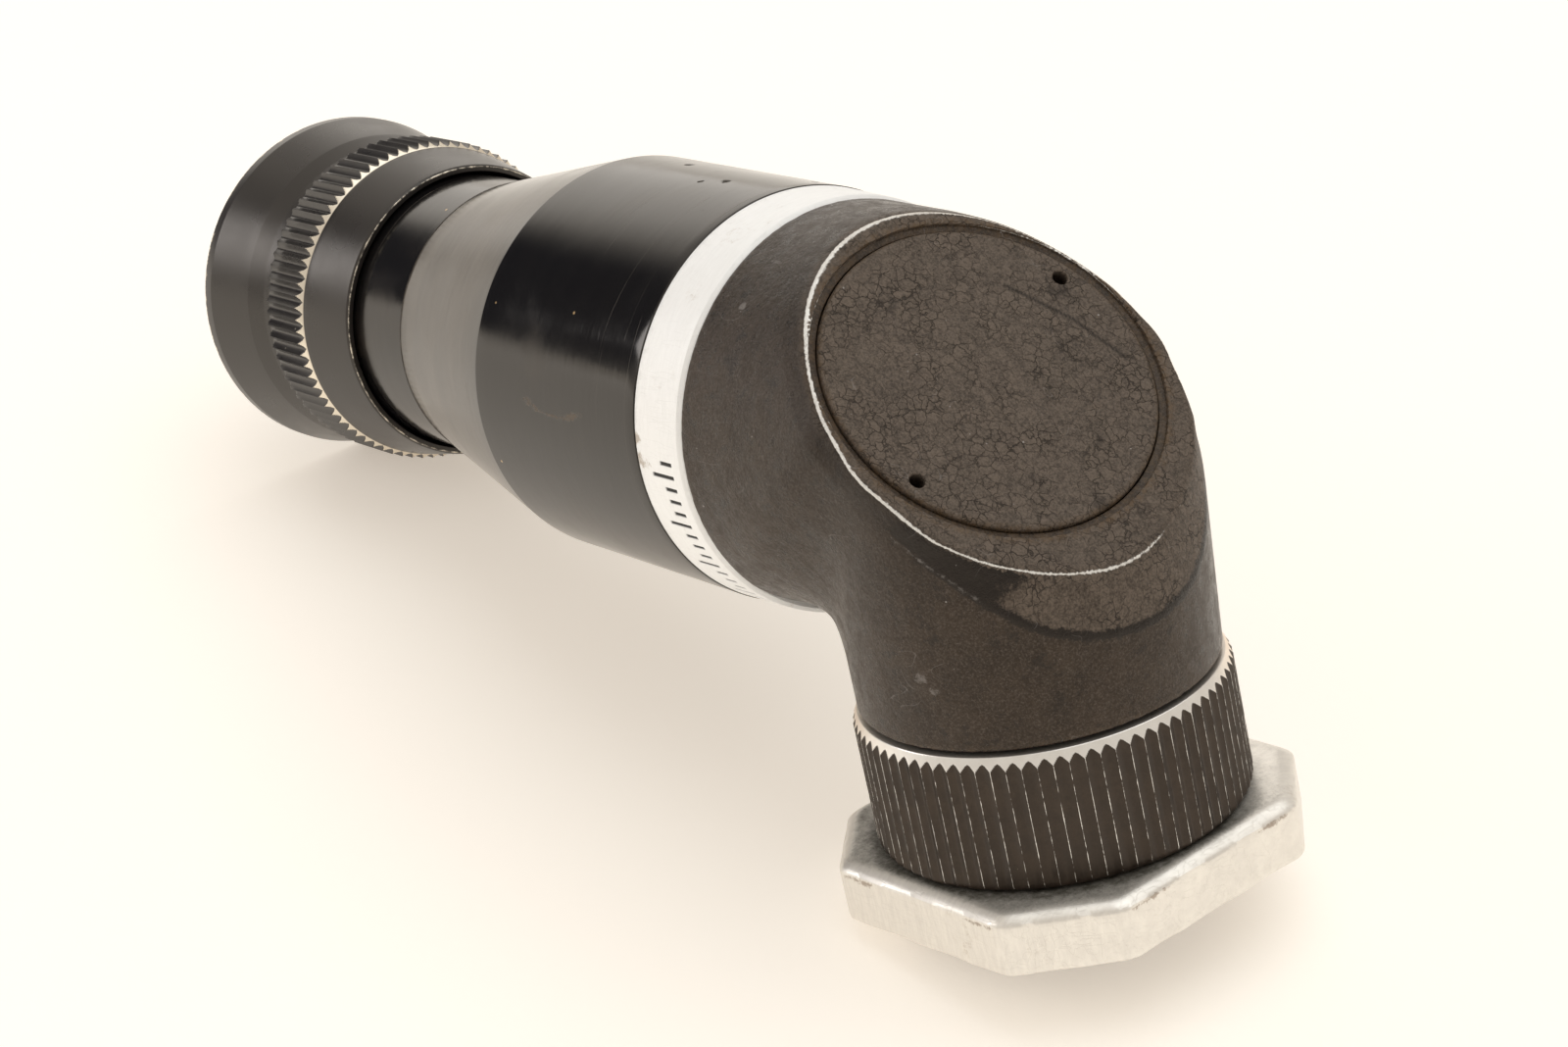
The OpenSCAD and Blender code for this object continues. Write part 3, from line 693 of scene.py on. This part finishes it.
def elbow_marks(points):
    """Where the elbow's enamel is crazed, worn through, inky, dusty or chipped, and where painted shade darkens it
    beside the face.
    """
    x, y, z = points.T
    across = (x - z) / math.sqrt(2)
    tubes, face, over_foot = elbow_parts(points)
    rim = np.clip(1.4 - np.maximum(np.abs(face), np.abs(tubes)) / 0.8, 0, 1)
    foot = np.clip(1 - np.maximum(np.abs(over_foot), 2 * np.abs(tubes)) / 0.8, 0, 1)
    wear_share = 1 - 0.45 * smooth_step(across, 3, 9) - 0.50 * smooth_step(y, -2, 11)
    left = smooth_step(-y, -1, 4) * smooth_step(across, 1, 5) * (1 - smooth_step(across, 11, 15))
    stripe = smooth_step(over_foot, -0.2, 0.3) * (face < -0.25) * left
    ends = np.clip(1 - np.minimum(np.abs(x + UPPER_END), np.abs(z + LOWER_END)) / 0.6, 0, 1)
    seat = np.hypot(across - COVER_SHIFT, y)
    return {
        "crackle": np.maximum(smooth_step(face, -0.9, -0.3), smooth_step(
            across + 0.3 * y, 8, 11) * smooth_step(over_foot, -0.3, 0.3)),
        "rim": rim * np.maximum(wear_share, 0.1),
        "foot": np.maximum(foot * smooth_step(across, 2, 9), 0.85 * stripe),
        "dust": np.maximum(np.clip(1 - np.abs(seat - GROOVE_R) / 0.6, 0, 1) * (face > -0.6),
                           0.5 * ends),
        "scuff": np.maximum(0.62 * foot * left, spots(points, (
            (4.4, -13.4, -12.7, 1.5), (5.3, -13.1, -13.7, 1.2), (5.4, -13.0, -3.6, 0.7),
            (-13.7, -10.3, 12.6, 0.9), (2.4, -13.9, -5.3, 0.6), (9.5, -10.5, -7.5, 0.7)))),
        # painted shade: darkens the enamel on the tubes' -y side beside the face, most just below its rim
        "shade": np.exp(np.minimum(face, 0) / 2.6) * smooth_step(-y, 1, 8) * (face < -0.2)
        * (0.45 + 0.5 * smooth_step(across, -9, -1)) * (1 - smooth_step(across, 6, 11))}


elbow_points, elbow_faces = contour(elbow_field, (-18.5, -17.5, -20), (17, 17.5, 20), 0.26)
piece("elbow_casting", elbow_points, elbow_faces, Matrix.Identity(4), "scope", "crackle_black",
      ["elbow_housing"], elbow_marks(elbow_points), sharp=42)
SEAT_IN, SEAT_OUT = COVER_R + 0.07, GROOVE_R - 0.05
lathe("cover_seat", [(SEAT_IN, -SEAT_DEPTH, 0), (SEAT_OUT, -SEAT_DEPTH, 0),
                     (SEAT_OUT, -0.30, 0.1), (SEAT_IN, -0.42, 0.1)],
      FACE, "scope", "crackle_black", turns=192,
      shape=lambda radius, station, angle: (radius, {"dust": np.full_like(radius, 0.55)}))

SPANNER_R, SPANNER_HOLE_R, COVER_T = 11.8, 0.6, 2.6
SPANNER_HOLES = [(SPANNER_R * math.cos(math.radians(turn)), SPANNER_R * math.sin(math.radians(turn)))
                 for turn in (115, -65)]
SCORE = np.array(((-6.3, 6.1), (-1.46, 9.25), (3.23, 11.0)))


def cover_field(points):
    """Field of the round cover in its own frame, with a slightly raised lip."""
    x, y, z = points.T
    radius = np.sqrt(x * x + y * y)
    lip = -0.05 + 0.05 * smooth_step(radius, 11.9, 12.6)
    disc = smooth_max(radius - COVER_R + 0.02, z - lip, 0.45)
    disc = smooth_max(disc, -z - COVER_T, 0.2)
    for hole_x, hole_y in SPANNER_HOLES:
        hole = np.maximum(tube((x - hole_x) ** 2 + (y - hole_y) ** 2, SPANNER_HOLE_R), -z - 1.6)
        disc = smooth_max(disc, -hole, 0.12)
    return disc


def from_line(points, line):
    """Distance of each (x, y) point from a chain of straight stretches."""
    nearest = np.full(len(points), 1e9)
    for start, end in zip(line, line[1:]):
        run = end - start
        t = np.clip((points - start) @ run / (run @ run), 0, 1)
        nearest = np.minimum(nearest, np.linalg.norm(points - start - t[:, None] * run, axis=1))
    return nearest


cover_points, cover_faces = contour(cover_field, (-13.6, -13.6, -2.9), (13.6, 13.6, 0.4), 0.2)
cover_reach = np.hypot(cover_points[:, 0], cover_points[:, 1])
on_top = smooth_step(cover_points[:, 2], -0.9, -0.2)
piece("cover_disc", cover_points, cover_faces, FACE, "scope", "crackle_black", ["prism_cover"], {
    "crackle": on_top,
    "dust": 0.85 * np.clip(1 - np.abs(cover_reach - COVER_R) / 0.5, 0, 1),
    "score": on_top * np.clip(1.5 - from_line(cover_points[:, :2], SCORE) / 0.13, 0, 1)},
      sharp=42)


# ------------------------------------------------------------------ turned tubes

MARK_START, MARK_SPAN, MARK_COUNT = math.radians(150), math.radians(125), 96


def barrel_points(radius, station, angle):
    """The points of a turned part of the barrel, in the optical frame."""
    return np.stack([-station, radius * np.sin(angle), radius * np.cos(angle)], -1).reshape(-1, 3)


def engraving(radius, station, angle):
    """Index marks cut round the band's underside: every fourth one is longer."""
    turn = angle / (2 * math.pi) * MARK_COUNT
    near = np.abs(turn - np.round(turn)) * 2 * math.pi / MARK_COUNT * radius
    length = np.where(np.round(turn) % 4 == 0, 2.7, 1.45)
    start = UPPER_END + 1.4
    along = (station > start) & (station < start + length)
    quadrant = (angle > MARK_START) & (angle < MARK_START + MARK_SPAN)
    cut = along & quadrant & (near < 0.17)
    points = barrel_points(radius, station, angle)
    rub = spots(points, ((-22.6, -16.6, 0.9, 1.9), (-23.2, -16.4, 2.6, 1.2)))
    return radius - 0.1 * cut, {"ink": cut * 1.0, "grime": 0.25 * (station > BAND_END - 0.2),
                                "rub": rub.reshape(radius.shape), "matt": np.ones_like(radius)}


band = [(BARREL_BORE_R, UPPER_END, 0), (16.2, UPPER_END, 0.12), (16.55, UPPER_END + 0.3, 0.12)]
for station in (18.82, 18.92, 20.28, 20.38, 21.55, 21.65):
    slope = (station - UPPER_END - 0.3) / (BAND_END - UPPER_END - 0.3)
    band.append((16.55 + 0.13 * slope, station, 0))
band += [(16.68, BAND_END, 0.08), (BARREL_BORE_R, BAND_END, 0)]
lathe("bare_band", band, BARREL, "scope", "bare_aluminium", ["index_band"], 2304, engraving)


def barrel_marks(radius, station, angle):
    """A rubbed oval on the near side, scuffs on top, and a painted reflection on the cone that lightens its enamel
    towards brown.
    """
    points = barrel_points(radius, station, angle)
    oval = np.hypot((points[:, 0] + 35.2) / 3.8, (points[:, 2] - 3.4) / 0.9)
    rub = np.clip(1 - np.abs(oval - 1) / 0.55, 0, 0.72) * (points[:, 1] < -10)
    rub *= 0.45 + 0.55 * smooth_step(3.5 - points[:, 2], -0.6, 0.5)
    scuff = spots(points, ((-39.6, 3.8, 16.3, 1.2), (-30.7, 1.3, 16.7, 1.3), (-33.0, 0.4, 16.7, 0.9),
                           (-27.2, -3.5, 16.4, 0.8), (-25.0, 6.0, 15.6, 0.9)))
    return radius, {"rub": rub.reshape(radius.shape), "scuff": scuff.reshape(radius.shape),
                    # painted reflection: lightens the cone's enamel towards brown
                    "cone_reflection": 0.6 * smooth_step(station, BARREL_END - 0.2, BARREL_END + 1.2)}


straight = [(BARREL_R, station, 0) for station in np.linspace(24.5, 45.5, 36)]
lathe("barrel_shell", [
    (13.2, BARREL_START, 0), (14.75, BARREL_START, 0.2), (14.75, BAND_END + 0.02, 0),
    (BARREL_R, BAND_END + 0.02, 0.1), *straight, (BARREL_R, BARREL_END, 0.5, 0.1),
    (15.4, 53.3, 0), (14.0, 59.9, 0), (CONE_R, CONE_END, 0.2), (11.6, CONE_END, 0),
    (11.6, 56, 0), (13.2, 46, 0)],
    BARREL, "scope", "gloss_black", ["barrel_tube"], shape=barrel_marks)

lathe("neck_shell", [
    (10.95, 56.5, 0.1), (11.55, 56.5, 0.1), (11.55, CONE_END, 0), (NECK_R, CONE_END, 0.15),
    (NECK_R, 70, 0), (NECK_R, 76, 0), (NECK_R, NECK_END, 0.15), (10.95, NECK_END, 0.1)],
    BARREL, "scope", "gloss_black", ["neck_tube"])

lathe("sleeve_skirt", [
    (12.6, MOUTH_S, 0.08), (13.05, MOUTH_S, 0.08, 0.72), (13.2, MOUTH_S + 0.25, 0.1),
    (14.2, KNURL_S, 0.1), (13.2, KNURL_S, 0), (13.2, KNURL_END, 0.1), (11.2, KNURL_END, 0),
    (11.2, KNURL_END - 0.7, 0), (12.3, KNURL_END - 0.7, 0), (12.3, MOUTH_S + 1.2, 0)],
    BARREL, "focuser", "satin_black", ["focus_sleeve"])

lathe("eyecup_shell", [
    (12.1, KNURL_END + 0.02, 0), (13.7, KNURL_END + 0.02, 0.15), (13.55, 88.4, 0.3),
    (13.75, 89.4, 0.6), (14.35, 91.4, 1.6), (CUP_R, CUP_S - 1.3, 0.25),
    (CUP_R, CUP_S - 0.15, 0.15, 0.72), (CUP_R - 0.2, CUP_S, 0.15, 0.5), (14.9, CUP_S, 0.15),
    (14.6, 97.5, 0.2), (13.75, 94.6, 0.1), (13.95, 94.4, 0.1), (13.35, 93.7, 0.1),
    (13.55, 93.5, 0.1), (12.5, 92.3, 0.4), (11.1, 91.4, 0.2), (11.1, 88.2, 0), (12.1, 88.2, 0)],
    BARREL, "focuser", "satin_black", ["eyecup"])


# ------------------------------------------------------------------ fluted rings

def fluted_ring(name, axis_place, body, slot, replaces, count, depth, profile, bore, samples=12,
                bright_to=0.0, hollow=1.35):
    """A ring whose outside is the smaller of a plain profile and a row of hollow flutes with
    sharp ridges between them. profile is the outside as (radius, station), from end to end."""
    turns = count * samples
    angle = np.arange(turns) * 2 * math.pi / turns
    to_ridge = np.abs(2 * (np.arange(turns) % samples) / samples - 1)
    outer = np.array(profile, float)
    crest = outer[:, 0].max()
    flutes = crest - depth * (1 - to_ridge ** hollow)
    radius = np.minimum(outer[:, :1], flutes[None, :])
    station = np.repeat(outer[:, 1:], turns, 1)
    plain = outer[:, :1] < flutes[None, :] - 0.004
    bright = np.where(plain & (station <= bright_to), 1.0, 0.0)
    ridge = np.where(station < outer[-3, 1], to_ridge ** 5, 0.0)
    inner = np.array(bore, float)
    inner_radius = np.repeat(inner[:, :1], turns, 1)
    inner_station = np.repeat(inner[:, 1:], turns, 1)
    radius = np.concatenate([radius, inner_radius])
    station = np.concatenate([station, inner_station])
    none = np.zeros_like(inner_radius)
    marks = {"bright": np.concatenate([bright, none]), "ridge": np.concatenate([ridge, none]),
             "wear": np.concatenate([np.maximum(bright, 0.28 * ridge ** 2), none])}
    points = np.stack([radius * np.cos(angle), radius * np.sin(angle), station], -1)
    faces = ring_faces(len(radius), turns)[:, ::-1]
    return piece(name, points.reshape(-1, 3), faces, axis_place, body, slot, replaces,
                 {key: value.ravel() for key, value in marks.items()}, sharp=50)


SHOULDER_R, SHOULDER_S, SHOULDER_RISE = 14.28, RING_TOP + 0.03, 1.0
ring_profile = [(13.6, RING_TOP), (14.22, RING_TOP), (SHOULDER_R, SHOULDER_S)]
ring_profile += [(SHOULDER_R + (RING_R - SHOULDER_R) * t, SHOULDER_S + SHOULDER_RISE * t)
                 for t in np.linspace(0.06, 1, 18)]
ring_profile += [(RING_R, s) for s in np.linspace(20.9, 29.6, 12)]
ring_profile += [(14.67, 29.85), (14.45, 30.1), (14.2, RING_BOTTOM), (13.6, RING_BOTTOM)]
ring_bore = [(13.2, RING_BOTTOM), (13.2, 23.9), (12.45, 23.9), (12.45, RING_TOP)]
fluted_ring("clamp_collar", OBJECTIVE, "clamp", "fluted_black", ["clamp_ring"], 78, 0.27,
            ring_profile, ring_bore, bright_to=20.7)

knurl_profile = [(13.6, KNURL_S), (14.15, KNURL_S + 0.01), (14.22, KNURL_S + 0.06)]
knurl_profile += [(14.22 + 0.48 * t, KNURL_S + 0.06 + 0.66 * t) for t in np.linspace(0.1, 1, 10)]
knurl_profile += [(14.7, s) for s in np.linspace(KNURL_S + 0.95, KNURL_END - 0.35, 7)]
knurl_profile += [(14.55, KNURL_END - 0.12), (14.3, KNURL_END), (13.6, KNURL_END)]
knurl_bore = [(13.25, KNURL_END), (13.25, KNURL_S)]
fluted_ring("knurled_grip", BARREL, "focuser", "satin_black", ["focus_ring"], 84, 0.44,
            knurl_profile, knurl_bore, bright_to=KNURL_S + 0.75, hollow=1.6)


# ------------------------------------------------------------------ foot plate

TURN = math.radians(PLATE_TURN)
PLATE_BORE_R = 10.05
NUT_R, NUT_TOP = 12.6, 31.9
SOCKET_R, SOCKET_TOP = 13.0, 33.3


def plate_edge(x, y):
    """How far inside the octagon's outline a point lies, in millimetres."""
    u = np.abs(x * math.cos(TURN) + y * math.sin(TURN))
    v = np.abs(y * math.cos(TURN) - x * math.sin(TURN))
    flats = smooth_max(u - PLATE_HALF, v - PLATE_HALF, 0.4)
    corners = (u + v) / math.sqrt(2) - (2 * PLATE_HALF - PLATE_CUT) / math.sqrt(2)
    return -smooth_max(flats, corners, 0.6)


def plate_field(points):
    """Distance-like field of the foot plate in the optical frame, negative inside."""
    x, y, z = points.T
    inset = plate_edge(x, y)
    rolled = 0.72 * np.clip(1 - np.maximum(inset, 0) / 1.4, 0, 1) ** 2
    body = smooth_max(-inset, z + PLATE_TOP + rolled, 0.12)
    body = smooth_max(body, -z - PLATE_BOTTOM, 0.35)
    flat = x * x + y * y
    for hollow in (tube(flat, PLATE_BORE_R), np.maximum(tube(flat, NUT_R), z + NUT_TOP),
                   np.maximum(tube(flat, SOCKET_R), z + SOCKET_TOP)):
        body = smooth_max(body, -hollow, 0.2)
    return body


plate_points, plate_faces = contour(plate_field, (-17.2, -17.2, -36), (17.2, 17.2, -29.8), 0.32)
plate_inset = plate_edge(plate_points[:, 0], plate_points[:, 1])
plate_reach = np.hypot(plate_points[:, 0], plate_points[:, 1])
side_down = -plate_points[:, 2] - PLATE_TOP
around_plate = np.arctan2(plate_points[:, 1], plate_points[:, 0]) - TURN
plate_corner = 0.55 + 0.45 * np.cos(8 * around_plate + math.pi)
piece("foot_plate", plate_points, plate_faces, Matrix.Identity(4), "foot", "bare_aluminium",
      ["mount_plate"], {
          "wear": plate_corner * np.where(plate_inset < 0.5, 1, 0) * smooth_step(
              -np.abs(side_down - 1.0), -0.8, -0.1),
          "grime": smooth_step(plate_inset, 0.35, 1.5) * (side_down < 1) * (
              0.60 + 0.22 * (1 - smooth_step(plate_reach, 14.9, 16.0))) * (
                  1 - 0.60 * smooth_step(plate_points[:, 1], 3, 12))}, sharp=38)


# ------------------------------------------------------------------ CAD pieces kept as they are

for item in frame["record"]["subparts"]:
    cad = frame["nodes"][item["node"]]
    cad.data.materials.clear()
    cad.data.materials.append(MATERIALS[item["material_slot"]])


# ------------------------------------------------------------------ stage and lights

def paper(tree):
    """Off-white paper that glows a little: painted light that stands for the light coming back up through it, and
    that keeps the shadows under the object light.
    """
    place = node(tree, "TexCoord").outputs["Object"]
    fibre = grain(tree, place, 900.0, 4.0)
    return {"Base Color": blend(tree, step(tree, fibre, 0.3, 0.7, 0.0, 0.05),
                                (0.80, 0.80, 0.78), (0.7, 0.7, 0.68)),
            "Normal": dent(tree, fibre, 0.02)}


# Painted light: the paper glows warm, which lightens the shadows under the object and lights the object from
# below.
GLOW = {"Emission Color": (1.0, 0.87, 0.73, 1), "Emission Strength": 0.42}
FLOOR_HALF = 1.5
floor = bpy.data.meshes.new("table_paper")
floor.from_pydata([(-FLOOR_HALF, -FLOOR_HALF, 0), (FLOOR_HALF, -FLOOR_HALF, 0),
                   (FLOOR_HALF, FLOOR_HALF, 0), (-FLOOR_HALF, FLOOR_HALF, 0)], [], [(0, 1, 2, 3)])
floor.materials.append(material("table_paper", paper, Roughness=0.9, **GLOW))
table = bpy.data.objects.new("table_paper", floor)
bpy.context.scene.collection.objects.link(table)


def soft_light(name, size, at, power, colour):
    """A rectangular lamp aimed at the middle of the object."""
    lamp = bpy.data.lights.new(name, "AREA")
    lamp.shape, lamp.size, lamp.size_y = "RECTANGLE", size[0], size[1]
    lamp.energy, lamp.color = power, colour
    made = bpy.data.objects.new(name, lamp)
    made.location = at
    made.rotation_euler = (Vector((0, 0, 0.02)) - Vector(at)).to_track_quat("-Z", "Y").to_euler()
    bpy.context.scene.collection.objects.link(made)


soft_light("overhead", (0.9, 0.9), (0.05, 0.20, 0.85), 2.45, (0.92, 0.97, 1.0))
soft_light("near_left", (0.26, 0.22), (-0.47, -0.42, 0.24), 0.60, (1.0, 0.97, 0.97))


def room(tree):
    """A pale warm room all round, bright low down at the back on the left and dark beside it."""
    way = node(tree, "TexCoord").outputs["Generated"]
    toward = node(tree, "VectorMath", {0: way, 1: (-0.92, -0.32, 0.20)}, operation="DOT_PRODUCT")
    closed = step(tree, toward.outputs["Value"], 0.905, 0.975)
    behind = node(tree, "VectorMath", {0: way, 1: (-0.925, 0.375, 0.10)}, operation="DOT_PRODUCT")
    window = step(tree, behind.outputs["Value"], 0.90, 0.985)
    colour = blend(tree, window, (0.68, 0.63, 0.57), (1.55, 1.46, 1.34))
    colour = blend(tree, closed, colour, (0.05, 0.05, 0.06))
    return node(tree, "Background", {"Color": colour, "Strength": 1.0}).outputs[0]


world = bpy.data.worlds.new("room")
world.use_nodes = True
world.node_tree.nodes.clear()
surface = node(world.node_tree, "OutputWorld").inputs["Surface"]
world.node_tree.links.new(room(world.node_tree), surface)
bpy.context.scene.world = world
